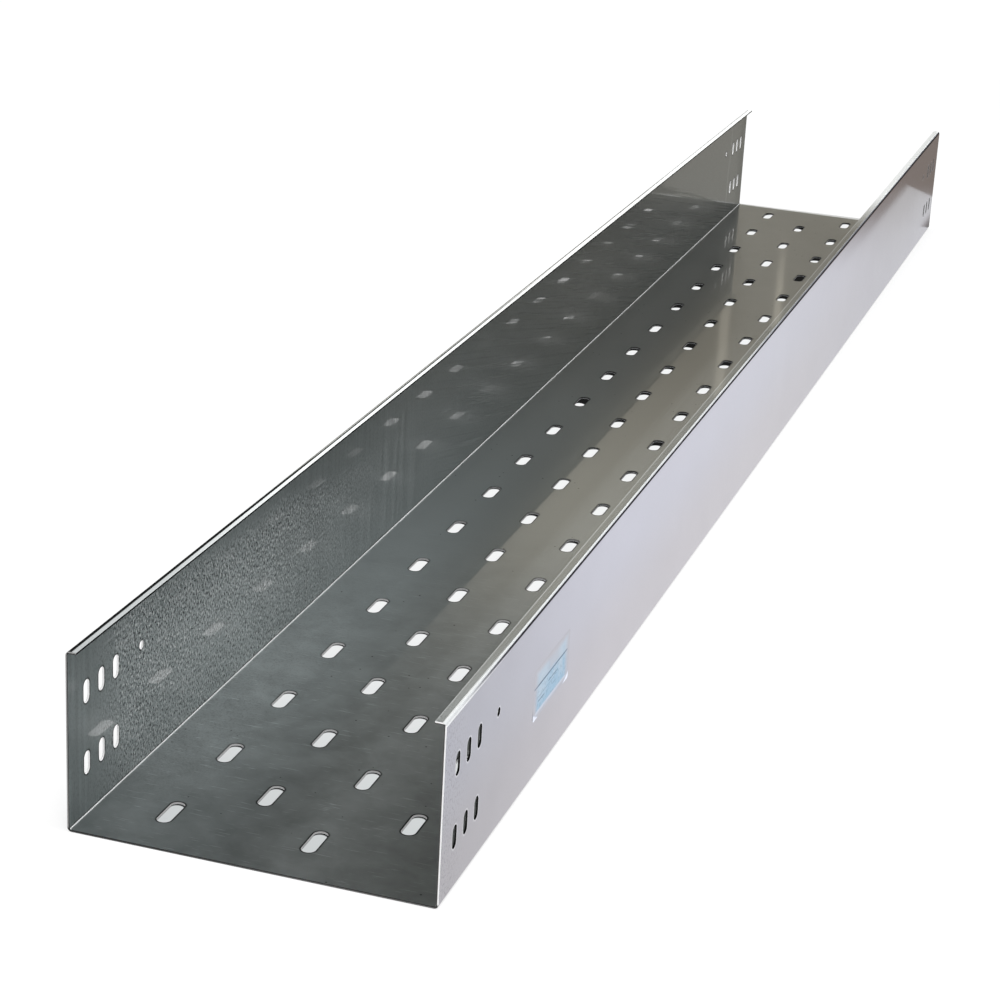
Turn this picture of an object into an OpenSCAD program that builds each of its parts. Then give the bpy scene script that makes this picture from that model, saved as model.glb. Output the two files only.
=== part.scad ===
// Perforated cable tray: one length of galvanised sheet, punched with slots and
// folded into a channel with a narrow lip turned in along the top of each wall.
// X runs across the tray, Y along it and Z up. The origin is on the underside,
// midway along the length.

/* [Tray] */
// Length of the tray
tray_length = 1500; // [300:25:3000]
// Width over the outside of the walls
tray_width = 200; // [100:5:600]
// Height from the underside to the top of the lips
tray_height = 100; // [50:5:200]
// Width of each lip, from the outside of its wall to its free edge
lip_width = 6; // [5:0.5:25]

/* [Sheet] */
// Thickness of the sheet
sheet_thickness = 1.2; // [0.8:0.1:2]
// Inside radius of every fold
fold_radius = 1.2; // [0.5:0.1:2.5]

/* [Base slots] */
// Length of a base slot, end to end
base_slot_length = 24; // [12:1:36]
// Width of a base slot
base_slot_width = 8; // [5:0.5:14]
// Distance between slots along one line
base_slot_pitch = 75; // [50:5:150]
// Distance between neighbouring lines of slots, which are staggered by half a pitch
base_line_gap = 40; // [25:1:80]

/* [Wall slots] */
// Height of a wall slot, end to end
wall_slot_length = 13; // [10:1:20]
// Width of a wall slot
wall_slot_width = 6.5; // [5:0.5:10]
// Number of wall slots side by side at each end
wall_slot_count = 3; // [1:1:5]
// Distance between wall slots along the tray
wall_slot_gap = 16.5; // [14:0.5:24]
// Distance from the end of the tray to the first wall slot
wall_slot_inset = 20; // [12:1:40]
// Height of the lower row of wall slots above the underside
wall_row_height = 30; // [20:1:36]
// Distance between the rows of wall slots
wall_row_gap = 40; // [30:1:80]

/* [Earth holes] */
// Diameter of the earth hole near each end of each wall
earth_hole_diameter = 5; // [4:0.5:10]
// Distance from the last wall slot to the earth hole
earth_hole_gap = 30; // [16:1:45]

/* [Hidden] */
$fn = 64;

// How far a cutter runs past the faces that it cuts
overcut = 1;

outer_fold_radius = fold_radius + sheet_thickness;
mouth_width = tray_width - 2 * lip_width;

// Lines of base slots across the tray, at least one, and slots along a full line
base_line_count = max(1, floor(tray_width / base_line_gap) - 1);
base_slot_count = floor(tray_length / base_slot_pitch);

// Rows of wall slots that fit from the lower row up to the fold of the lip, at least one
wall_row_room = tray_height - outer_fold_radius - wall_slot_length / 2 - wall_row_height;
wall_row_count = max(1, floor(wall_row_room / wall_row_gap) + 1);
top_row_height = wall_row_height + (wall_row_count - 1) * wall_row_gap;
earth_hole_inset = wall_slot_inset + (wall_slot_count - 1) * wall_slot_gap + earth_hole_gap;

// Rectangle about X = 0 that stands on Y = bottom, with round corners
module rounded_rectangle(width, height, bottom, radius) {
    translate([-width / 2, bottom + radius]) square([width, height - 2 * radius]);
    translate([-width / 2 + radius, bottom]) square([width - 2 * radius, height]);
    for (side = [-1, 1], y = [bottom + radius, bottom + height - radius])
        translate([side * (width / 2 - radius), y]) circle(r = radius);
}

// Section of the folded sheet: base, two walls and two lips
module folded_section() {
    difference() {
        rounded_rectangle(tray_width, tray_height, 0, outer_fold_radius);
        rounded_rectangle(
            tray_width - 2 * sheet_thickness,
            tray_height - 2 * sheet_thickness,
            sheet_thickness,
            fold_radius
        );
        translate([-mouth_width / 2, tray_height / 2])
            square([mouth_width, tray_height / 2 + overcut]);
    }
}

// Slot with round ends, its length along Y
module slot(length, width) {
    straight = length - width;
    square([width, straight], center = true);
    for (end = [-1, 1])
        translate([0, end * straight / 2]) circle(d = width);
}

// Base slots seen from above: every second line is half a pitch further on, with one slot fewer
module base_slots() {
    for (line = [0:1:base_line_count - 1]) {
        count = base_slot_count - line % 2;
        x = (line - (base_line_count - 1) / 2) * base_line_gap;
        for (place = [0:1:count - 1])
            translate([x, (place - (count - 1) / 2) * base_slot_pitch])
                slot(base_slot_length, base_slot_width);
    }
}

// Holes of one end of a wall seen from the side: distance from the end along X, height along Y
module wall_end_holes() {
    for (column = [0:1:wall_slot_count - 1], row = [0:1:wall_row_count - 1])
        translate([
            wall_slot_inset + column * wall_slot_gap,
            wall_row_height + row * wall_row_gap
        ])
            slot(wall_slot_length, wall_slot_width);
    translate([earth_hole_inset, top_row_height]) circle(d = earth_hole_diameter);
}

// The tray, folded from one punched sheet
module tray() {
    color("#8f9596")
    difference() {
        rotate([90, 0, 0])
            linear_extrude(height = tray_length, center = true) folded_section();

        translate([0, 0, -overcut])
            linear_extrude(height = sheet_thickness + 2 * overcut) base_slots();

        for (end = [0, 1])
            mirror([0, end, 0])
                translate([0, -tray_length / 2, 0])
                    rotate([90, 0, 90])
                        linear_extrude(height = tray_width + 2 * overcut, center = true)
                            wall_end_holes();
    }
}

tray();
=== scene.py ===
# Perforated cable tray: galvanised finish, wall sticker, floor, light and camera
import bpy
import math
from mathutils import Matrix, Vector
from types import SimpleNamespace


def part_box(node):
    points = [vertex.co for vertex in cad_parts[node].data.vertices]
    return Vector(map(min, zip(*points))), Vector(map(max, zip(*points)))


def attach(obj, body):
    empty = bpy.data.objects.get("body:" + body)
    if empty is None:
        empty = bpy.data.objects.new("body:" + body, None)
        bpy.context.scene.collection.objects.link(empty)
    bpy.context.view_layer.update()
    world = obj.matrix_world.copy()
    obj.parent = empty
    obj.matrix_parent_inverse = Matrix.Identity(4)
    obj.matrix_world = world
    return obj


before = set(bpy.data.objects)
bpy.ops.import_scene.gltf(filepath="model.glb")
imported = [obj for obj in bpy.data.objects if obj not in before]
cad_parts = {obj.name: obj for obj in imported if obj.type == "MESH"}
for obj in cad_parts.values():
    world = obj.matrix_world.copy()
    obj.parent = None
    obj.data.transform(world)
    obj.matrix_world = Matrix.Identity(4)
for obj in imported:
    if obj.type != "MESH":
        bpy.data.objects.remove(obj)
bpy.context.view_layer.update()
low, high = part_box("tray")
halfWidth = high.x
halfLength = high.y
topHeight = high.z
print("frame loaded, tray is", [round(side * 1000) for side in high - low], "mm")


class Shade:  # one shader socket that takes part in plain Python sums
    def __init__(self, tree, socket=None):
        self.tree = tree
        self.socket = socket

    def node(self, kind, settings=None, inputs=None, output=0):
        made = self.tree.nodes.new(kind)
        for name, value in (settings or {}).items():
            setattr(made, name, value)
        for name, value in (inputs or {}).items():
            if isinstance(value, Shade):
                self.tree.links.new(value.socket, made.inputs[name])
            else:
                made.inputs[name].default_value = value
        return Shade(self.tree, made.outputs[output])

    def sibling(self, output):  # another output of the node behind this socket
        return Shade(self.tree, self.socket.node.outputs[output])

    def into(self, shader, name):
        self.tree.links.new(self.socket, shader.inputs[name])

    def maths(self, operation, *values):
        return self.node("ShaderNodeMath", {"operation": operation}, dict(enumerate(values)))

    def __add__(self, other):
        return self.maths("ADD", self, other)

    def __radd__(self, other):
        return self.maths("ADD", other, self)

    def __sub__(self, other):
        return self.maths("SUBTRACT", self, other)

    def __rsub__(self, other):
        return self.maths("SUBTRACT", other, self)

    def __mul__(self, other):
        return self.maths("MULTIPLY", self, other)

    def __rmul__(self, other):
        return self.maths("MULTIPLY", other, self)

    def __abs__(self):
        return self.maths("ABSOLUTE", self)

    def lesser(self, other):
        return self.maths("MINIMUM", self, other)

    def greater(self, other):
        return self.maths("MAXIMUM", self, other)

    def root(self):
        return self.maths("SQRT", self)

    def wrapped(self, span):  # place within a repeat of this span, from -span / 2 to span / 2
        return self.maths("WRAP", self, span / 2, -span / 2)

    def ease(self, start, end, first=0.0, last=1.0):  # smooth step from first to last
        span = {"Value": self, "From Min": start, "From Max": end, "To Min": first, "To Max": last}
        return self.node("ShaderNodeMapRange", {"interpolation_type": "SMOOTHSTEP"}, span)

    def between(self, rise, fall):  # 0, then 1 past the range rise, then 0 again past the range fall
        return self.ease(*rise) * self.ease(*fall)

    def axes(self):
        parts = self.node("ShaderNodeSeparateXYZ", None, {"Vector": self}).socket.node
        return [Shade(self.tree, out) for out in parts.outputs]

    def stretched(self, scale, turn=(0, 0, 0)):
        return self.node("ShaderNodeMapping", None, {"Vector": self, "Rotation": turn, "Scale": scale})

    def noise(self, scale=1, detail=2, rough=0.5, warp=0.0):
        values = {"Vector": self, "Scale": scale, "Detail": detail, "Roughness": rough, "Distortion": warp}
        return self.node("ShaderNodeTexNoise", None, values)

    def cells(self, scale):
        return self.node("ShaderNodeTexVoronoi", None, {"Vector": self, "Scale": scale}, "Distance")

    def tint(self, first, last):  # colour from first at 0 to last at 1
        return self.node("ShaderNodeMix", {"data_type": "RGBA"}, {0: self, 6: first, 7: last}, 2)

    def times(self, colour):
        settings = {"data_type": "RGBA", "blend_type": "MULTIPLY"}
        return self.node("ShaderNodeMix", settings, {0: 1.0, 6: self, 7: colour}, 2)

    def grey(self):
        return self.node("ShaderNodeCombineColor", None, {0: self, 1: self, 2: self})


def newMaterial(name):
    material = bpy.data.materials.new(name)
    material.use_nodes = True
    shader = material.node_tree.nodes["Principled BSDF"]
    return material, shader, Shade(material.node_tree)


def scaled(span, size):  # a range given in thicknesses or bend radii
    return [end * size for end in span]


def below(top, span):  # a range given down from the top, or back from an edge
    return [top - end for end in span]


# Galvanised sheet. Lengths are in metres, and ranges along the tray run from its front end
sheet = {
    "thickness": 0.0012,
    "bendRadius": 0.0024,
    "lipWidth": 0.006,
    "innerSkin": (0.75, 0.85),  # in thicknesses, where the outer skin gives way to the inner one
    "faceReach": (1.5, 1.2),  # in thicknesses, how far a wall or the base counts as one
    "foldReach": (1.0, 0.9),  # in bend radii
    "topFoldReach": (1.2, 1.0),  # in bend radii
    "lipReach": (0.0005, 0.0002),  # below the top
    "middleReach": (0.01, -0.01),  # from the right half to the left half
    "insideNear": (0.582, 0.626, 0.628, 1),
    "insideFar": (0.558, 0.568, 0.545, 1),
    "insideChange": (0.45, 1.0),
    "outsideLow": (0.510, 0.480, 0.545, 1),
    "outsideHigh": (0.475, 0.480, 0.590, 1),
    "outsideRise": (0.01, 0.08),  # in height
    "outsideFar": (0.475, 0.462, 0.600, 1),
    "outsideChange": (0.7, 1.3),
    "outsideBack": (0.515, 0.525, 0.550, 1),  # left wall's outside and the underside
    "metallic": 0.97,
    "roughness": 0.30,
    "smudgeRoughness": 0.04,
    "hazeRoughness": 0.03,
    "scuffRoughness": 0.14,
    "edgeTint": (0.75, 0.75, 0.75, 1),
}


def sheetZones(place, look):  # where on the folded sheet a point lies
    at = SimpleNamespace(place=place)
    at.x, at.y, at.z = place.axes()
    thick = look["thickness"]
    bend = look["bendRadius"]
    face = scaled(look["faceReach"], thick)
    fold = scaled(look["foldReach"], bend)
    at.side = halfWidth - abs(at.x)  # in from the outside of the walls
    at.fromEnd = halfLength - abs(at.y)
    at.fromFront = at.y + halfLength
    upDown = at.z.lesser(topHeight - at.z)
    at.depth = at.side.lesser(upDown)  # into the sheet from its outer skin
    at.inside = at.depth.ease(*scaled(look["innerSkin"], thick))
    at.outside = 1 - at.inside
    at.wall = at.side.ease(*face)
    at.base = at.z.ease(*face)
    at.lip = at.z.ease(*below(topHeight, look["lipReach"]))
    at.left = at.x.ease(*look["middleReach"])
    at.folded = at.side.ease(*fold) * upDown.ease(*fold)
    at.topFold = at.folded * at.outside * at.z.ease(*below(topHeight, scaled(look["topFoldReach"], bend)))
    at.smooth = at.inside.greater(at.lip)
    at.innerWall = at.inside * at.wall
    at.innerBase = at.inside * at.base
    at.outerWall = at.outside * at.wall
    return at


# Cut edges: the free edges of the lips, the ends and the sides of the holes, with painted light and shade in
# their tones
cutEdge = {
    "from": (0.06, 0.10),  # in thicknesses, from the outer skin
    "to": (0.94, 0.90),
    "lipDepth": (2.0, 1.2),  # in thicknesses, below the top
    "endDepth": (0.00010, 0.00004),
    "darkTone": 0.02,
    "litTone": 0.80,
    "metallic": 0.20,
    "roughness": 0.45,
    "rightLit": (0.2, 0.5),  # in y: the right wall's holes are painted lit at the back alone
    "rightLitShare": 0.35,
    "baseLit": (0.80, 0.30),
    "baseLitShare": 0.45,
    "endAcross": (-0.09, 0.09, 0.30, 0.90),  # the end's painted light and shade from left to right
    "endBase": (1.2, 2.5),  # in thicknesses, from the base's end up to the walls'
    "endBaseTone": 0.14,
    "endDark": (0.70, 0.48),  # in thicknesses, the inner half of the end is dark
    "endDarkTone": 0.06,
}


def cutEdges(at, thick, look):
    skin = at.depth.between(scaled(look["from"], thick), scaled(look["to"], thick)) * (1 - at.folded)
    lipEdge = skin * at.z.ease(*below(topHeight, scaled(look["lipDepth"], thick)))
    end = at.fromEnd.ease(*look["endDepth"])
    # Painted light and shade: hole sides are painted lit on the left wall, at the back of the right wall and
    # at the front of the base, and dark elsewhere, the lips' free edges too
    lit = at.wall * at.left.greater(at.y.ease(*look["rightLit"]) * look["rightLitShare"])
    lit = lit.greater(at.base * at.fromFront.ease(*look["baseLit"]) * look["baseLitShare"]) * (1 - lipEdge)
    # Painted light and shade on the ends: darker on the left, lighter on the right
    endLightAndShade = at.x.ease(*look["endAcross"])
    endLightAndShade = endLightAndShade * at.z.ease(*scaled(look["endBase"], thick), look["endBaseTone"], 1.0)
    endLightAndShade = endLightAndShade * at.depth.ease(*scaled(look["endDark"], thick), look["endDarkTone"], 1.0)
    tone = lit.ease(0, 1, look["darkTone"], look["litTone"])
    tone = tone + end * (endLightAndShade - tone)
    metal = lit.greater(end).ease(0, 1, 1.0, look["metallic"])
    return skin.greater(end), tone, metal


# Punched holes, as the imported part has them, and their rolled-over rims, painted dark on the inside faces
# as shade and pale with use on the outside
punched = {
    "basePitch": 0.075,
    "baseLineGap": 0.040,
    "baseLength": 0.024,
    "baseWidth": 0.008,
    "baseLinesEnd": (0.078, 0.082),  # past the outer lines
    "baseSlotsEnd": (0.018, 0.014),  # past the last slots, from the ends
    "wallInset": 0.020,
    "wallPitch": 0.0165,
    "wallRow": 0.030,
    "wallRowGap": 0.040,
    "wallLength": 0.013,
    "wallWidth": 0.0065,
    "wallSlotsEnd": (0.0235, 0.0245),  # from the middle slot
    "earthInset": 0.083,
    "earthHeight": 0.070,
    "earthRadius": 0.0025,
    "rimReach": (1.5, 2.0),  # in thicknesses
    "rollOver": 0.0014,
}


def slotGap(across, along, length, width):  # distance out from the edge of a slot with round ends
    past = (abs(along) - (length - width) / 2).greater(0)
    return (across * across + past * past).root() - width / 2


def baseSlotGap(x, y, fromEnd, holes):
    lineGap = holes["baseLineGap"]
    pitch = holes["basePitch"]
    gaps = []
    for shift in (0, 1):  # every second line is half a pitch further on
        across = (x + lineGap * (1.5 - shift)).wrapped(2 * lineGap)
        along = (y + pitch / 2 * (1 - shift)).wrapped(pitch)
        gaps.append(slotGap(across, along, holes["baseLength"], holes["baseWidth"]))
    beyond = abs(x).ease(*holes["baseLinesEnd"]) + fromEnd.ease(*holes["baseSlotsEnd"])
    return gaps[0].lesser(gaps[1]) + beyond


def wallSlotGap(fromEnd, z, holes):
    fromFirst = fromEnd - holes["wallInset"]
    across = fromFirst.wrapped(holes["wallPitch"])
    along = (z - holes["wallRow"]).wrapped(holes["wallRowGap"])
    beyond = abs(fromFirst - holes["wallPitch"]).ease(*holes["wallSlotsEnd"])
    slots = slotGap(across, along, holes["wallLength"], holes["wallWidth"]) + beyond
    fromEarth = fromEnd - holes["earthInset"]
    aboveEarth = z - holes["earthHeight"]
    earth = (fromEarth * fromEarth + aboveEarth * aboveEarth).root() - holes["earthRadius"]
    return slots.lesser(earth)


def holeRims(at, thick, holes):
    away = scaled(holes["rimReach"], thick)
    baseGap = baseSlotGap(at.x, at.y, at.fromEnd, holes) + at.z.ease(*away)
    wallGap = wallSlotGap(at.fromEnd, at.z, holes) + at.side.ease(*away)
    return baseGap.lesser(wallGap).ease(holes["rollOver"], 0.0)


# Age of the zinc: grain near the front, finger marks at the ends, scuffs on the base, rubbed walls
patina = {
    "smudge": {"scale": 9, "rough": 0.55, "warp": 0.5},
    "haze": {"scale": 45, "detail": 3, "rough": 0.6, "warp": 0.3},
    "grain": {"scale": 920, "rough": 0.7},
    "grainStretch": (1, 1, 0.55),
    "grainDepth": 0.00025,
    "grainBump": 0.95,
    "plainBump": 0.05,
    "pits": (0.46, 0.38),
    "sparks": (0.55, 0.60),
    "streakStretch": (260, 260, 9),
    "streakRough": 0.6,
    "grainFrom": (0.02, 0.08),
    "grainTo": (0.50, 0.22),
    "grainTop": 0.109,  # height of the grain's upper limit at the front
    "grainSlope": 0.0875,
    "grainWander": 0.03,
    "grainFade": (-0.006, 0.012),
    "grainFaint": 0.10,  # on the rest of the walls
    "grainFull": 0.90,
    "baseGrainAcross": (-0.03, -0.09),
    "baseGrainFrom": (0.02, 0.10),
    "baseGrainTo": (0.45, 0.20),
    "baseGrainShare": 0.15,
    "handledReach": (0.045, 0.0),  # from both ends
    "scuffedReach": (0.55, 0.15),
    "scratchStretch": (55, 700, 70),
    "scratchRough": 0.7,
    "scratchRange": (0.62, 0.70),
    "dotScale": 170,
    "dotSize": (0.13, 0.07),
    "dotRarity": (0.88, 0.89),
    "rubbedFrom": (0.15, 0.30),
    "rubbedTo": (0.60, 0.45),
}


def zincPatina(at, look):
    age = SimpleNamespace()
    place = at.place
    along = at.fromFront
    age.smudge = place.noise(**look["smudge"])
    age.haze = place.noise(**look["haze"])
    age.grain = place.stretched(look["grainStretch"]).noise(**look["grain"])
    age.pits = age.grain.ease(*look["pits"])
    age.sparks = age.grain.ease(*look["sparks"])
    age.streaks = place.stretched(look["streakStretch"]).noise(rough=look["streakRough"])
    limit = look["grainTop"] - look["grainSlope"] * along + (age.smudge - 0.5) * look["grainWander"]
    patch = along.between(look["grainFrom"], look["grainTo"]) * (limit - at.z).ease(*look["grainFade"])
    wallGrain = at.wall * (look["grainFaint"] + look["grainFull"] * patch)
    baseGrain = at.base * at.x.ease(*look["baseGrainAcross"])
    baseGrain = baseGrain * along.between(look["baseGrainFrom"], look["baseGrainTo"]) * look["baseGrainShare"]
    age.grainShare = at.inside * wallGrain.greater(baseGrain)
    age.handled = at.fromEnd.ease(*look["handledReach"])
    age.scuffed = at.innerBase * along.ease(*look["scuffedReach"])
    scratched = place.stretched(look["scratchStretch"]).noise(rough=look["scratchRough"])
    age.scratches = scratched.ease(*look["scratchRange"])
    spots = place.cells(look["dotScale"])
    rarity = spots.sibling("Color").axes()[0]
    age.dots = spots.ease(*look["dotSize"]) * rarity.ease(*look["dotRarity"])
    age.rubbed = at.innerWall * along.between(look["rubbedFrom"], look["rubbedTo"])
    return age


# How light or dark each part of the sheet is, as shares of its colour: grain, dirt and scuffs, and painted
# light and shade by place
tones = {
    "plain": 0.94,
    "smudge": 0.10,
    "haze": 0.10,
    "grain": 0.15,
    "pits": 0.03,
    "grainPits": 0.95,
    "handledPits": 0.45,
    "scuffHaze": 0.7,
    "scratches": 0.45,
    "dots": 0.7,
    # Painted shade on the right of the base near the front
    "baseRightShadeAcross": (-0.02, 0.08),
    "baseRightShadeShare": 0.46,
    "rubbed": 0.5,
    # Painted shade on the base's left front and along the walls' inside middle, painted light along the
    # base's left middle
    "baseLeft": (0.03, -0.03),
    "baseFront": (0.13, 0.05),
    "baseFrontDark": 0.20,
    "baseLightFrom": (0.12, 0.25),
    "baseLightTo": (1.00, 0.60),
    "baseLight": 0.22,
    "wallDarkFrom": (0.20, 0.31),
    "wallDarkTo": (0.95, 0.75),
    "wallDark": 0.18,
    # painted shade round the holes on the inside faces
    "rimShadeAndWear": 0.85,
    "handled": 0.7,
    # Painted light and shade on the outside of the walls: darker near the front and towards the far end,
    # lighter higher up
    "outsideFront": (0.32, 0.0),
    "outsideFrontDark": 0.36,
    "outsideRise": (0.02, 0.09, 0.06, 0.22),  # in height
    "outsideFall": (0.6, 1.4, 0.0, 0.42),
    "least": 0.02,
}


def sheetTone(at, age, rimShadeAndWear, look):
    along = at.fromFront
    pits = look["pits"] + look["grainPits"] * age.grainShare + look["handledPits"] * at.outside * age.handled
    scuffs = (age.haze - 0.5) * look["scuffHaze"] + age.scratches * look["scratches"]
    # Painted shade: the base near the front is darker on its right
    baseRightShade = age.scuffed * at.x.ease(*look["baseRightShadeAcross"]) * look["baseRightShadeShare"]
    # Painted light and shade by place: the base darker at its left front and lighter along its left middle,
    # the walls darker along their inside middle
    leftBase = at.innerBase * at.x.ease(*look["baseLeft"])
    baseLight = leftBase * along.between(look["baseLightFrom"], look["baseLightTo"]) * look["baseLight"]
    wallDark = at.innerWall * along.between(look["wallDarkFrom"], look["wallDarkTo"]) * look["wallDark"]
    tone = look["plain"] + age.smudge * look["smudge"] + (age.haze - 0.5) * look["haze"]
    tone = tone * (1 + look["grain"] * age.grainShare) - age.pits * pits
    tone = tone + age.scuffed * scuffs - age.dots * at.inside * look["dots"]
    tone = tone * (1 - baseRightShade) + (age.streaks - 0.5) * age.rubbed * look["rubbed"]
    tone = tone * (1 - leftBase * along.ease(*look["baseFront"]) * look["baseFrontDark"])
    # Painted shade round the holes on the inside faces
    tone = tone * (1 + baseLight) * (1 - wallDark) - rimShadeAndWear * at.inside * look["rimShadeAndWear"]
    tone = tone + (0.5 - age.streaks) * at.innerWall * age.handled * look["handled"]
    # Painted light and shade on the outside of the walls
    tone = tone * (1 - at.outerWall * along.ease(*look["outsideFront"]) * look["outsideFrontDark"])
    outsideLight = at.z.ease(*look["outsideRise"]) - along.ease(*look["outsideFall"])
    tone = tone * (1 + at.outerWall * outsideLight)
    return tone.greater(look["least"])


def sheetColour(at, tone, look):
    outer = at.z.ease(*look["outsideRise"]).tint(look["outsideLow"], look["outsideHigh"])
    outer = at.fromFront.ease(*look["outsideChange"]).tint(outer, look["outsideFar"])
    outer = at.left.greater(at.base).tint(outer, look["outsideBack"])
    inner = at.fromFront.ease(*look["insideChange"]).tint(look["insideNear"], look["insideFar"])
    return at.smooth.tint(outer, inner).times(tone.grey())


# Bright scuffing and painted highlights on the lips and folds near the ends and on burrs, and the painted
# shade of the dark lines beside it
wearHighlightsAndShade = {
    "colour": (0.86, 0.88, 0.88, 1),
    "metallic": 0.30,
    "front": (0.14, 0.02),
    "back": (1.02, 1.20),
    "lipShare": 0.03,
    "lipFront": 0.18,
    "lipFrontLeft": 0.24,  # more on the left lip
    "sparks": 0.85,
    "foldFront": 0.8,
    "rimShadeAndWear": 0.45,
    "burrReach": (0.0006, 0.0003),  # in from the lip's free edge
    "burr": 0.5,
    "farEdgeHighlightReach": (0.0100, 0.0085),  # from the far end
    "farEdgeHighlightSlant": 0.03,
    "farEdgeHighlight": 0.85,
    "farScuffReach": (0.075, 0.060),  # from the far end
    "farScuffRange": (0.60, 0.68),
    "farScuffs": 0.6,
    "creaseHighlight": (0.00050, 0.00030),  # painted highlight along the middle of the lower folds
    "creaseShade": (0.00050, 0.00060),
    "creaseHeight": (0.05, 0.04),
    "creaseDark": 0.8,
    "foldFrom": (0.0006, 0.0008),  # painted highlight, in from the outside
    "foldTo": (0.0018, 0.0015),
    "foldAlong": (0.80, 0.60, 0.3, 0.85),
    "foldShadeFrom": (0.00005, 0.00012),  # in from the outside
    "foldShadeTo": (0.00065, 0.00050),
    "foldShadeAlong": (0.02, 0.12),
    "leftTop": (1.0, 0.8),  # in bend radii, below the top
    "leftAlong": (0.85, 0.55),
    "leftNarrows": (0.10, 0.35),
    "leftWidth": (0.0018, 0.0006),
    "leftInset": (0.0018, 0.0031),
    "leftSoft": 0.7,
    "leftRoughness": 0.7,
    "lipRoughness": 0.12,
    "shadeDark": 0.9,
}


def wearAndHighlights(at, age, rimShadeAndWear, bend, lipWidth, look):
    along = at.fromFront
    front = along.ease(*look["front"])
    back = along.ease(*look["back"])
    burr = at.lip * at.side.ease(*below(lipWidth, look["burrReach"])) * look["burr"]
    # Painted highlight along the base's far edge
    slanted = at.y - look["farEdgeHighlightSlant"] * (halfWidth - at.x)
    farEdgeHighlight = at.innerBase * slanted.ease(*below(halfLength, look["farEdgeHighlightReach"])) * look["farEdgeHighlight"]
    farScuffs = at.innerWall * at.y.ease(*below(halfLength, look["farScuffReach"]))
    farScuffs = farScuffs * age.streaks.ease(*look["farScuffRange"]) * look["farScuffs"]
    # Painted highlight along the middle of the lower folds, and painted shade beside it
    innerFold = at.inside * at.folded
    creaseHighlight = innerFold * abs(at.side - at.z).ease(*look["creaseHighlight"])
    creaseShade = innerFold * (at.z - at.side).ease(*look["creaseShade"])
    creaseShade = creaseShade * at.z.ease(*look["creaseHeight"]) * look["creaseDark"]
    # Painted highlight along the top folds, and painted shade beside it on the right
    foldLine = at.topFold * at.side.between(look["foldFrom"], look["foldTo"]) * along.ease(*look["foldAlong"])
    foldShade = at.topFold * at.side.between(look["foldShadeFrom"], look["foldShadeTo"])
    foldShade = foldShade * along.ease(*look["foldShadeAlong"]) * (1 - at.left)

    # Painted shade: a dark band along the left lip
    width = along.ease(*look["leftNarrows"], *look["leftWidth"])
    inset = along.ease(*look["leftNarrows"], *look["leftInset"])
    leftShade = at.left * at.outside * at.z.ease(*below(topHeight, scaled(look["leftTop"], bend)))
    leftShade = leftShade * along.ease(*look["leftAlong"])
    leftShade = leftShade * abs(at.side - inset).ease(width, width * look["leftSoft"])

    # Scuffing and painted highlights on the lips and the top folds near the ends
    lipWearAndHighlight = look["lipShare"] + (look["lipFront"] + look["lipFrontLeft"] * at.left) * front
    wornAndHighlight = at.lip * lipWearAndHighlight.greater(back)
    wornAndHighlight = wornAndHighlight.greater(age.sparks * age.grainShare * look["sparks"])
    wornAndHighlight = wornAndHighlight.greater(at.topFold * (front * look["foldFront"]).greater(at.left * back))
    wornAndHighlight = wornAndHighlight.greater(rimShadeAndWear * at.outside * look["rimShadeAndWear"])
    for mark in (creaseHighlight, foldLine, burr, farEdgeHighlight, farScuffs):
        wornAndHighlight = wornAndHighlight.greater(mark)
    wornAndHighlight = wornAndHighlight * (1 - foldShade) * (1 - leftShade)
    return wornAndHighlight, foldShade.greater(creaseShade).greater(leftShade), leftShade


# Thin sharp gloss over the duller zinc
gloss = {
    "inside": 1.0,
    "outside": 0.6,
    "roughness": 0.04,
    "ior": 2.0,
    "slant": (0.24, 0, 0),  # the rolling lines fall towards the front
    "drawnStretch": (1, 0.04, 1),
    "drawn": {"scale": 300, "rough": 0.6},
    "drawnFrom": (0.50, 0.70, 0.25, 1.0),
    "drawnTo": (1.20, 1.00),
    "drawnLoss": (0.47, 0.62, -0.60, 0.0),
    "glintStretch": (1, 6, 420),
    "glintRange": (0.54, 0.58),
    "glintFrom": (0.50, 0.65),
    "glintSlope": 0.286,
    "glintFade": (-0.003, -0.006),
    "glintLoss": 0.85,
    "underLip": (0.060, 0.072),  # in height
    "underLipTo": (0.48, 0.40),
    "underLipLoss": 0.8,
    "handledLoss": 0.7,
    "rubbedRange": (0.56, 0.46),
    "rubbedLoss": 0.6,
    "level": 0.95,
    "haze": 0.3,
    "grainRange": (0.46, 0.56),
    "grainLoss": 0.25,
    "rimLoss": 0.9,
    "scuffLoss": 0.75,
}


def sheetGloss(at, age, look):
    along = at.fromFront
    slanting = at.place.stretched((1, 1, 1), look["slant"])
    drawn = slanting.stretched(look["drawnStretch"]).noise(**look["drawn"])
    drawnShare = along.between(look["drawnFrom"], look["drawnTo"])
    glints = slanting.stretched(look["glintStretch"]).noise(detail=1).ease(*look["glintRange"])
    glintTop = (2 * halfLength - along) * look["glintSlope"]
    glintReach = along.ease(*look["glintFrom"]) * (at.z - glintTop).ease(*look["glintFade"])
    underLip = at.z.ease(*look["underLip"]) * along.ease(*look["underLipTo"]) * look["underLipLoss"]
    rubbed = age.rubbed * age.streaks.ease(*look["rubbedRange"]) * look["rubbedLoss"]
    dulled = underLip.greater(age.handled * look["handledLoss"]).greater(rubbed)
    grainLoss = look["grainLoss"] * age.grainShare * (1 - age.grain.ease(*look["grainRange"]))
    coat = look["outside"] + at.smooth * (look["inside"] - look["outside"])
    coat = coat * (1 + at.innerWall * drawnShare * drawn.ease(*look["drawnLoss"]))
    coat = coat * (1 - look["glintLoss"] * at.innerWall * glintReach * (1 - glints))
    coat = coat * (1 - at.innerWall * dulled)
    return coat * (look["level"] + (age.haze - 0.5) * look["haze"]) * (1 - grainLoss)


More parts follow.
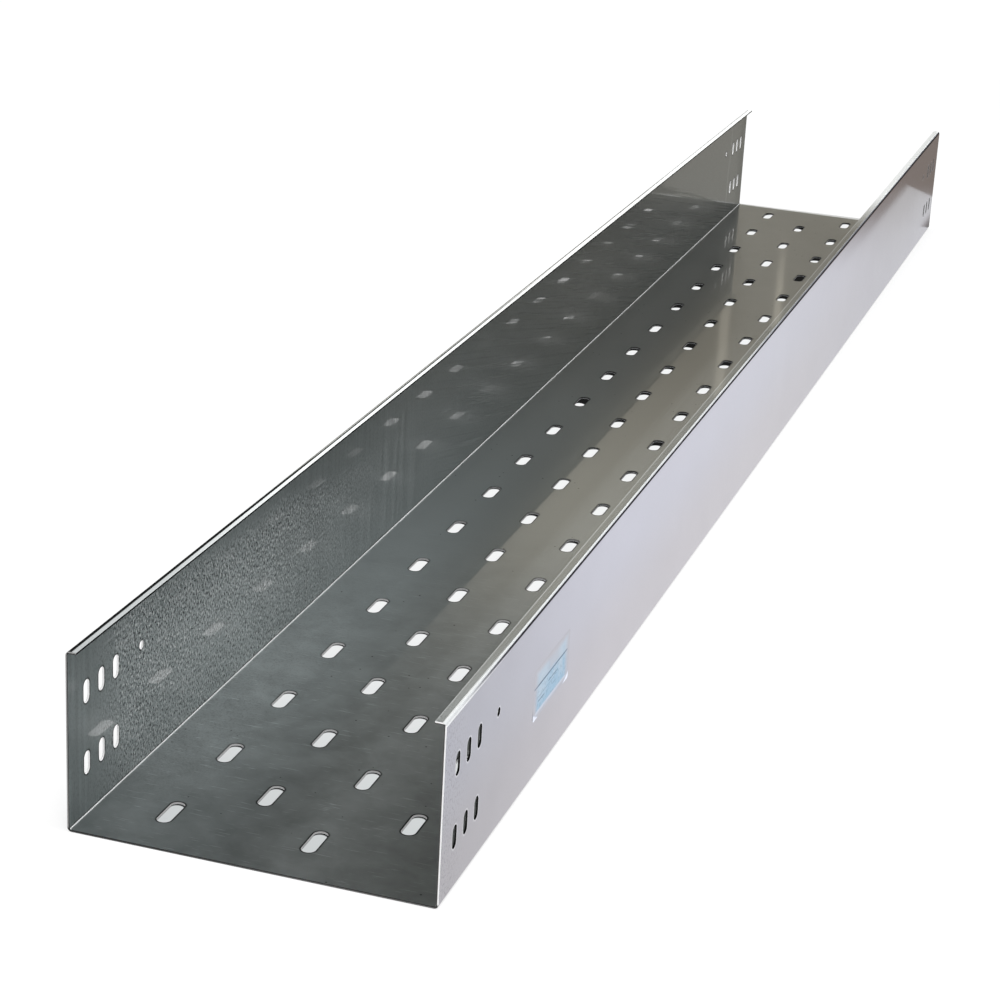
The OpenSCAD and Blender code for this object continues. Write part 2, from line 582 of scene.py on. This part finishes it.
def galvanisedSheet(look):
    material, shader, start = newMaterial("galvanisedSheet")
    at = sheetZones(start.node("ShaderNodeTexCoord", None, None, "Object"), look)
    cut, cutTone, cutMetal = cutEdges(at, look["thickness"], cutEdge)
    rimShadeAndWear = holeRims(at, look["thickness"], punched)
    age = zincPatina(at, patina)
    wornAndHighlight, shaded, leftShade = wearAndHighlights(at, age, rimShadeAndWear, look["bendRadius"], look["lipWidth"], wearHighlightsAndShade)

    colour = sheetColour(at, sheetTone(at, age, rimShadeAndWear, tones), look)
    # Scuffed zinc and painted highlights are pale, and the painted shade lines are dark
    colour = wornAndHighlight.tint(colour, wearHighlightsAndShade["colour"]).times((1 - wearHighlightsAndShade["shadeDark"] * shaded).grey())
    cut.tint(colour, cutTone.grey()).into(shader, "Base Color")

    rough = look["roughness"] + (age.smudge - 0.5) * look["smudgeRoughness"]
    rough = rough + (age.haze - 0.5) * look["hazeRoughness"] + age.scuffed * look["scuffRoughness"]
    rough = rough + at.lip * at.left * (wearHighlightsAndShade["lipRoughness"] - rough)
    rough = rough + leftShade * (wearHighlightsAndShade["leftRoughness"] - rough)
    (rough + cut * (cutEdge["roughness"] - rough)).into(shader, "Roughness")
    metal = look["metallic"] + wornAndHighlight * (wearHighlightsAndShade["metallic"] - look["metallic"])
    (metal + cut * (cutMetal - metal)).into(shader, "Metallic")
    shader.inputs["Specular Tint"].default_value = look["edgeTint"]

    coat = sheetGloss(at, age, gloss) * (1 - wornAndHighlight) * (1 - cut) * (1 - shaded)
    coat = coat * (1 - gloss["rimLoss"] * rimShadeAndWear * at.inside) * (1 - gloss["scuffLoss"] * age.scuffed)
    coat.into(shader, "Coat Weight")
    shader.inputs["Coat Roughness"].default_value = gloss["roughness"]
    shader.inputs["Coat IOR"].default_value = gloss["ior"]

    bumpiness = patina["plainBump"] * (1 - at.lip) + patina["grainBump"] * age.grainShare
    bumps = {"Height": age.grain, "Distance": patina["grainDepth"], "Strength": bumpiness}
    start.node("ShaderNodeBump", None, bumps).into(shader, "Normal")
    return material


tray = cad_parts["tray"]
tray.data.materials.clear()
tray.data.materials.append(galvanisedSheet(sheet))
print("tray finished")


# Plain sticker on the outside of the right wall, paler towards the top from fading and painted glare. Places
# on it run from -0.5 to 0.5, along and up
sticker = {
    "length": 0.065,
    "height": 0.030,
    "fromFront": 0.1775,
    "middleHeight": 0.051,
    "cells": (20, 40),
    "corner": 0.0022,
    "cornerCuts": (25, 65),  # degrees: two cuts leave each corner nearly round
    "thickness": 0.00002,
    "lift": 0.0001,
    "liftReach": 0.009,
    "smoothAngle": 40,
    "paper": (0.24, 0.39, 0.53, 1),
    "fadedAndGlare": (0.38, 0.47, 0.56, 1),
    "rule": (0.05, 0.10, 0.17, 1),
    "peeled": (0.66, 0.69, 0.79, 1),
    "bare": (0.45, 0.44, 0.525, 1),
    "blotch": {"scale": 60, "detail": 3, "rough": 0.6, "warp": 0.8},
    "fibre": {"scale": 900, "rough": 0.6},
    "fibreDepth": 0.00002,
    "fibreTone": 0.12,
    "plainTone": 0.94,
    "fadeAndGlareUp": 0.7,
    "fadeBlotch": 1.3,
    "fadeLevel": 0.12,
    "fadeRange": (-0.25, 0.45),
    "ruleEnds": (0.02, -0.06),  # how far the print of a rule takes to start and to die out
    "ruleTone": 0.7,
    "ruleBlotch": 0.5,
    "paleDown": 0.40,
    "paleReach": (0.050, 0.020),
    "pale": 0.6,
    "lifted": (0.82, 0.88),
    "specks": {"scale": 480, "rough": 0.6},
    "speckRange": (0.55, 0.64),
    "speckUp": (0.16, 0.10),
    "speckShare": 0.35,
    "edgeUp": 0.8,
    "edgeWander": 0.05,
    "edgeFade": (0.0, 0.15),
    "upperFade": (0.16, 0.11, 0.9, 1.0),
    "wornAlong": 0.05,
    "wornReach": (0.24, 0.06),
    "wornUp": (0.14, 0.22),
    "wornShare": 0.45,
    "mainLineKept": 0.8,
    "roughness": 0.10,  # over the sheet's own
    "blotchRoughness": 0.15,
    "shine": 0.4,
    "rules": (
        {"up": 0.13, "half": 0.024, "start": -0.50, "end": 0.48, "share": 1.0},
        {"up": -0.03, "half": 0.018, "start": -0.10, "end": 0.20, "share": 0.7},
        {"up": -0.10, "half": 0.014, "start": -0.42, "end": 0.12, "share": 0.35},
        {"up": -0.19, "half": 0.018, "start": -0.38, "end": -0.16, "share": 0.7},
        {"up": -0.20, "half": 0.016, "start": 0.02, "end": 0.16, "share": 0.5},
    ),
}


def stickerPaper(look):
    material, shader, start = newMaterial("stickerPaper")
    place = start.node("ShaderNodeTexCoord", None, None, "Object")
    x, y, z = place.axes()
    along = (y - (look["fromFront"] - halfLength)) * (1 / look["length"])
    up = (z - look["middleHeight"]) * (1 / look["height"])
    blotch = place.noise(**look["blotch"])
    fibre = place.noise(**look["fibre"])
    # Fading in blotches, and painted glare that grows towards the top
    fadeAndGlare = up * look["fadeAndGlareUp"] + look["fadeBlotch"] * (blotch - 0.5) + look["fadeLevel"]
    colour = fadeAndGlare.ease(*look["fadeRange"]).tint(look["paper"], look["fadedAndGlare"])
    starts, dies = look["ruleEnds"]
    mainLine = None
    for rule in look["rules"]:
        line = abs(up - rule["up"]).ease(rule["half"], rule["half"] * 0.5)
        line = line * along.ease(rule["start"], rule["start"] + starts)
        line = line * along.ease(rule["end"], rule["end"] + dies)
        mainLine = mainLine or line
        strength = look["ruleTone"] + look["ruleBlotch"] * blotch
        colour = (line * strength * rule["share"]).tint(colour, look["rule"])
    pale = abs(up + look["paleDown"]).ease(*look["paleReach"]) * look["pale"]
    lifted = (abs(along) - up).ease(*look["lifted"])
    specks = place.noise(**look["specks"]).ease(*look["speckRange"])
    colour = (specks * up.ease(*look["speckUp"]) * look["speckShare"]).tint(colour, look["rule"])
    colour = pale.greater(lifted).tint(colour, look["peeled"])

    # Bare metal where the print has worn off: softly at the edges, most of all above the main line
    fromEdge = (0.5 - abs(along)).lesser((0.5 - abs(up)) * look["edgeUp"])
    fromEdge = fromEdge + (blotch - 0.5) * look["edgeWander"]
    wornOff = abs(along - look["wornAlong"]).ease(*look["wornReach"]) * up.ease(*look["wornUp"])
    kept = fromEdge.ease(*look["edgeFade"]) * up.ease(*look["upperFade"]) * (1 - wornOff * look["wornShare"])
    kept = kept.greater(lifted).greater(mainLine * look["mainLineKept"])
    tone = (look["plainTone"] + fibre * look["fibreTone"]).grey()
    kept.tint(look["bare"], colour.times(tone)).into(shader, "Base Color")
    paperRough = look["roughness"] + blotch * look["blotchRoughness"]
    (sheet["roughness"] + kept * paperRough).into(shader, "Roughness")
    ((1 - kept) * sheet["metallic"]).into(shader, "Metallic")
    ((1 - kept) * gloss["outside"]).into(shader, "Coat Weight")
    shader.inputs["Coat Roughness"].default_value = gloss["roughness"]
    shader.inputs["Coat IOR"].default_value = gloss["ior"]
    shader.inputs["Specular Tint"].default_value = sheet["edgeTint"]
    shader.inputs["Specular IOR Level"].default_value = look["shine"]
    bumps = {"Height": fibre, "Distance": look["fibreDepth"]}
    start.node("ShaderNodeBump", None, bumps).into(shader, "Normal")
    return material


def pasteSticker(look):
    bpy.ops.object.select_all(action="DESELECT")
    middle = Vector((halfWidth, look["fromFront"] - halfLength, look["middleHeight"]))
    rows, columns = look["cells"]
    bpy.ops.mesh.primitive_grid_add(
        x_subdivisions=rows, y_subdivisions=columns, size=1,
        location=middle, rotation=(0, math.radians(90), 0))
    piece = bpy.context.object
    piece.name = "sticker"
    piece.scale = (look["height"], look["length"], 1)
    bpy.ops.object.transform_apply(location=True, rotation=True, scale=True)

    bpy.ops.object.mode_set(mode="EDIT")
    bpy.ops.mesh.select_mode(type="VERT")
    corner = look["corner"]
    for sideY in (-1, 1):
        for sideZ in (-1, 1):
            inward = Vector((0, sideY * (look["length"] / 2 - corner), sideZ * (look["height"] / 2 - corner)))
            for turn in look["cornerCuts"]:
                angle = math.radians(turn)
                outward = Vector((0, sideY * math.cos(angle), sideZ * math.sin(angle)))
                bpy.ops.mesh.select_all(action="SELECT")
                bpy.ops.mesh.bisect(
                    plane_co=middle + inward + outward * corner, plane_no=outward, clear_outer=True)
    for sideY in (-1, 1):  # the lower corners have come away from the wall
        bpy.ops.mesh.select_all(action="DESELECT")
        bpy.ops.object.mode_set(mode="OBJECT")
        spot = middle + Vector((0, sideY * look["length"] / 2, -look["height"] / 2))
        nearest = min(piece.data.vertices, key=lambda vertex: (vertex.co - spot).length)
        nearest.select = True
        bpy.ops.object.mode_set(mode="EDIT")
        bpy.ops.transform.translate(
            value=(look["lift"], 0, 0), use_proportional_edit=True, proportional_size=look["liftReach"],
            proportional_edit_falloff="SMOOTH")
    bpy.ops.object.mode_set(mode="OBJECT")
    solid = piece.modifiers.new("paper", "SOLIDIFY")
    solid.thickness = look["thickness"]
    solid.offset = 1
    bpy.ops.object.modifier_apply(modifier=solid.name)
    bpy.ops.object.shade_smooth_by_angle(angle=math.radians(look["smoothAngle"]))
    piece.data.materials.append(stickerPaper(look))
    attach(piece, "root")


pasteSticker(sticker)
print("sticker pasted")


# Floor, white to the camera and to mirrors but for a painted grey reflection past the far end, with painted
# shadows under the slots, and still taking the shadow near the tray
floorLook = {
    "size": 80,
    "drop": 0.0002,
    "colour": (0.86, 0.86, 0.86, 1),
    "roughness": 0.9,
    "white": 1.03,
    "underGlow": 0.70,
    "nearGlow": 0.82,
    "nearReach": 1.4,  # in half widths
    "shadowGlow": 0.52,
    "shadowReach": (0.2, 0.9),
    # Colours of the painted reflection, seen by glossy rays alone
    "farGrey": (0.265, 0.262, 0.242, 1),
    "sideGrey": (0.330, 0.280, 0.235, 1),
    "sideChange": (0.10, 0.11),
    "behindFrom": (0.001, 0.006),  # past the far end
    "behindAcross": (0.112, 0.104),
    "slantFrom": 0.873,
    "slant": 1.17,
    "slantEdge": (-0.006, 0.006),
    "slantAcross": (0.098, 0.102),
    "outerAcross": (0.147, 0.158),
    "outerFrom": (0.50, 0.85),
    "underEdge": 0.004,
    # Painted shade and shadow on the floor under the tray, seen through the slots
    "slotShadeNear": (0.58, 0.605, 0.610, 1),
    "slotShadeFar": (0.88, 0.89, 0.89, 1),
    "slotShade": (0.012, 0.012, 0.012, 1),
    "slotEdge": (-0.0006, 0.0004),
    "drift": (-0.4, 0.3, 0.0012, 0.0070),  # how far the slots' shadows lie from the slots
    "unevenFrom": (-0.4, 0.2),
    "uneven": {"scale": 16, "detail": 1},
    "unevenShare": 0.05,
}


def whiteFloor(look):
    material, shader, start = newMaterial("whiteFloor")
    shader.inputs["Base Color"].default_value = look["colour"]
    shader.inputs["Roughness"].default_value = look["roughness"]
    shader.inputs["Specular IOR Level"].default_value = 0.0
    place = start.node("ShaderNodeTexCoord", None, None, "Object")
    x, y, z = place.axes()
    seen = start.node("ShaderNodeLightPath", None, None, "Is Camera Ray")
    mirrored = seen.sibling("Is Glossy Ray")
    through = seen.sibling("Is Transmission Ray")
    away = (abs(y) - halfLength).greater(0)
    distance = (x * x + away * away).root()
    glow = distance.ease(halfWidth, halfWidth * look["nearReach"], look["underGlow"], look["nearGlow"])
    glow = glow.greater(distance.ease(*look["shadowReach"], look["shadowGlow"], 1.0))

    # Painted reflection: a grey floor past the far end, seen by glossy rays alone, shows in the metal there
    farEdge = [halfLength + end for end in look["behindFrom"]]
    behind = y.ease(*farEdge) * x.ease(*look["behindAcross"])
    slanted = (y - look["slantFrom"] - look["slant"] * (x - halfWidth)).ease(*look["slantEdge"])
    outer = x.ease(*look["outerAcross"]) * y.ease(*look["outerFrom"])
    grey = behind.greater(slanted * x.ease(*look["slantAcross"])).greater(outer) * mirrored
    reflectedGreyColour = x.ease(*look["sideChange"]).tint(look["farGrey"], look["sideGrey"])
    colour = grey.tint((1, 1, 1, 1), reflectedGreyColour)

    # Under the tray, each slot shows the floor with a painted shadow of its edge, on painted shade that is
    # darker towards the front
    inX = abs(x).ease(halfWidth, halfWidth - look["underEdge"])
    inY = abs(y).ease(halfLength, halfLength - look["underEdge"])
    under = inX * inY * seen
    slotPaintedShade = y.ease(-halfLength, -halfLength / 2).tint(look["slotShadeNear"], look["slotShadeFar"])
    uneven = (place.noise(**look["uneven"]) - 0.5) * look["unevenShare"]
    drift = y.ease(*look["drift"]) + y.ease(*look["unevenFrom"]) * uneven
    shadow = baseSlotGap(x, y + drift, halfLength - abs(y), punched).ease(*look["slotEdge"])
    colour = under.tint(colour, shadow.tint(slotPaintedShade, look["slotShade"]))
    white = start.node("ShaderNodeEmission", None, {"Color": colour, "Strength": look["white"]})
    lit = Shade(start.tree, shader.outputs[0])
    share = (glow * seen.greater(through)).greater(mirrored).greater(under)
    mixed = start.node("ShaderNodeMixShader", None, {0: share, 1: lit, 2: white})
    mixed.into(start.tree.nodes["Material Output"], "Surface")
    return material


bpy.ops.object.select_all(action="DESELECT")
bpy.ops.mesh.primitive_plane_add(size=floorLook["size"], location=(0, 0, -floorLook["drop"]))
floor = bpy.context.object
floor.name = "floor"
bpy.ops.object.transform_apply(location=True, rotation=True, scale=True)
floor.data.materials.append(whiteFloor(floorLook))
print("floor laid")


# Light
lamps = {
    "overhead": {"place": (0.3, -0.2, 3.2), "aim": (0, 0, 0), "size": 3.0, "watts": 150},
    "front": {"place": (1.6, -3.2, 1.8), "aim": (0, 0, 0.05), "size": 1.6, "watts": 40},
    "side": {"place": (3.4, -0.8, 1.6), "aim": (0, -0.2, 0.05), "size": 1.8, "watts": 36},
}
for name, lamp in lamps.items():
    bpy.ops.object.light_add(type="AREA", location=lamp["place"])
    light = bpy.context.object
    light.name = name
    light.data.size = lamp["size"]
    light.data.energy = lamp["watts"]
    light.visible_glossy = False  # the metal shows the studio and the floor, not the lamps
    aim = Vector(lamp["aim"]) - Vector(lamp["place"])
    light.rotation_euler = aim.to_track_quat("-Z", "Y").to_euler()
print("lamps set")


# Studio round the tray: panels that run along it show in its faces, and strips show in its folds.
# Ranges along it are in the length of a direction's y, and across it in the angle from straight up
studio = {
    "room": (0.07, 0.07, 0.07, 1),
    "above": (0.20, 0.20, 0.20, 1),
    "aboveFrom": (0.70, 0.85),  # in the height of a direction
    "panelFrom": (0.50, 0.75),
    "sideChange": (-0.2, 0.2),
    "leftCool": (0.94, 1.0, 1.02, 1),
    "leftWarm": (1.0, 0.925, 0.765, 1),
    "leftWarms": (0.83, 0.89),
    "leftRise": (0.83, 0.892, 0.075, 0.49),
    "leftFall": (0.896, 0.944, 0.49, 0.19),
    "leftEnd": (0.945, 0.965, 0.0, 0.31),
    "postsFrom": (0.916, 0.926),
    "postsTo": (0.954, 0.946),
    "posts": ({"at": -0.1915, "half": 0.0018, "gain": 2.6}, {"at": -0.2136, "half": 0.0026, "gain": 1.7}),
    "right": (0.96, 1.0, 1.0, 1),
    "rightFall": (0.81, 0.912, 0.58, 0.04),
    "strip": (2.2, 2.2, 2.2, 1),
    "stripFrom": (0.13, 0.16),
    "stripTo": (0.24, 0.21),
    "stripAlong": (0.74, 0.80),
    "edgeStrip": (2.2, 2.2, 2.2, 1),  # shows in the left lip alone
    "edgeStripFrom": (-0.87, -0.84),
    "edgeStripTo": (-0.76, -0.785),
    "edgeStripAlong": (0.80, 0.89, 0.25, 1.0),
    "horizon": (0.09, 0.16, 0.06, 1.0),  # dark, in the height of a direction
}


def studioWorld(look):
    world = bpy.data.worlds.new("studio")
    world.use_nodes = True
    bpy.context.scene.world = world
    start = Shade(world.node_tree)
    x, y, z = start.node("ShaderNodeTexCoord", None, None, "Generated").axes()
    along = abs(y)
    roll = x.maths("ARCTAN2", x, z)  # angle from straight up, round the tray's length
    bearing = x.maths("DIVIDE", x, along)
    left = along.ease(*look["leftRise"]).lesser(along.ease(*look["leftFall"]))
    left = left.greater(along.ease(*look["leftEnd"]))
    postRange = along.between(look["postsFrom"], look["postsTo"])
    for post in look["posts"]:  # pale uprights past the far end
        upright = abs(bearing - post["at"]).ease(post["half"], post["half"] * 0.5) * postRange
        left = left * (1 + upright * post["gain"])
    left = left.grey().times(along.ease(*look["leftWarms"]).tint(look["leftCool"], look["leftWarm"]))
    right = along.ease(*look["rightFall"]).grey().times(look["right"])
    panels = roll.ease(*look["sideChange"]).tint(left, right)
    colour = along.ease(*look["panelFrom"]).tint(look["room"], panels)
    colour = z.ease(*look["aboveFrom"]).tint(colour, look["above"])
    strip = roll.between(look["stripFrom"], look["stripTo"]) * along.ease(*look["stripAlong"])
    colour = strip.tint(colour, look["strip"])
    edgeStrip = roll.between(look["edgeStripFrom"], look["edgeStripTo"])
    edgeStrip = edgeStrip * along.ease(*look["edgeStripAlong"])
    colour = edgeStrip.tint(colour, look["edgeStrip"])
    colour = colour.times(z.ease(*look["horizon"]).grey())
    seen = start.node("ShaderNodeLightPath", None, None, "Is Camera Ray")
    background = world.node_tree.nodes["Background"]
    seen.tint(colour, (1, 1, 1, 1)).into(background, "Color")
    background.inputs["Strength"].default_value = 1.0


studioWorld(studio)
print("studio set")


# Camera at the photograph's viewing angle, with its angles in degrees
shot = {
    "place": (0.433, -1.763, 0.612),
    "sensor": 36,
    "lens": 89.9,
    "turn": 17.16,
    "tilt": 20.48,
    "roll": 3.07,
}
bpy.ops.object.camera_add(location=shot["place"])
camera = bpy.context.object
camera.data.sensor_width = shot["sensor"]
camera.data.lens = shot["lens"]
turned = Matrix.Rotation(math.radians(shot["turn"]), 3, "Z")
tilted = Matrix.Rotation(math.radians(90 - shot["tilt"]), 3, "X")
rolled = Matrix.Rotation(math.radians(shot["roll"]), 3, "Z")
camera.rotation_euler = (turned @ tilted @ rolled).to_euler()
bpy.context.scene.camera = camera
bpy.context.scene.view_settings.view_transform = "Standard"
print("camera placed")
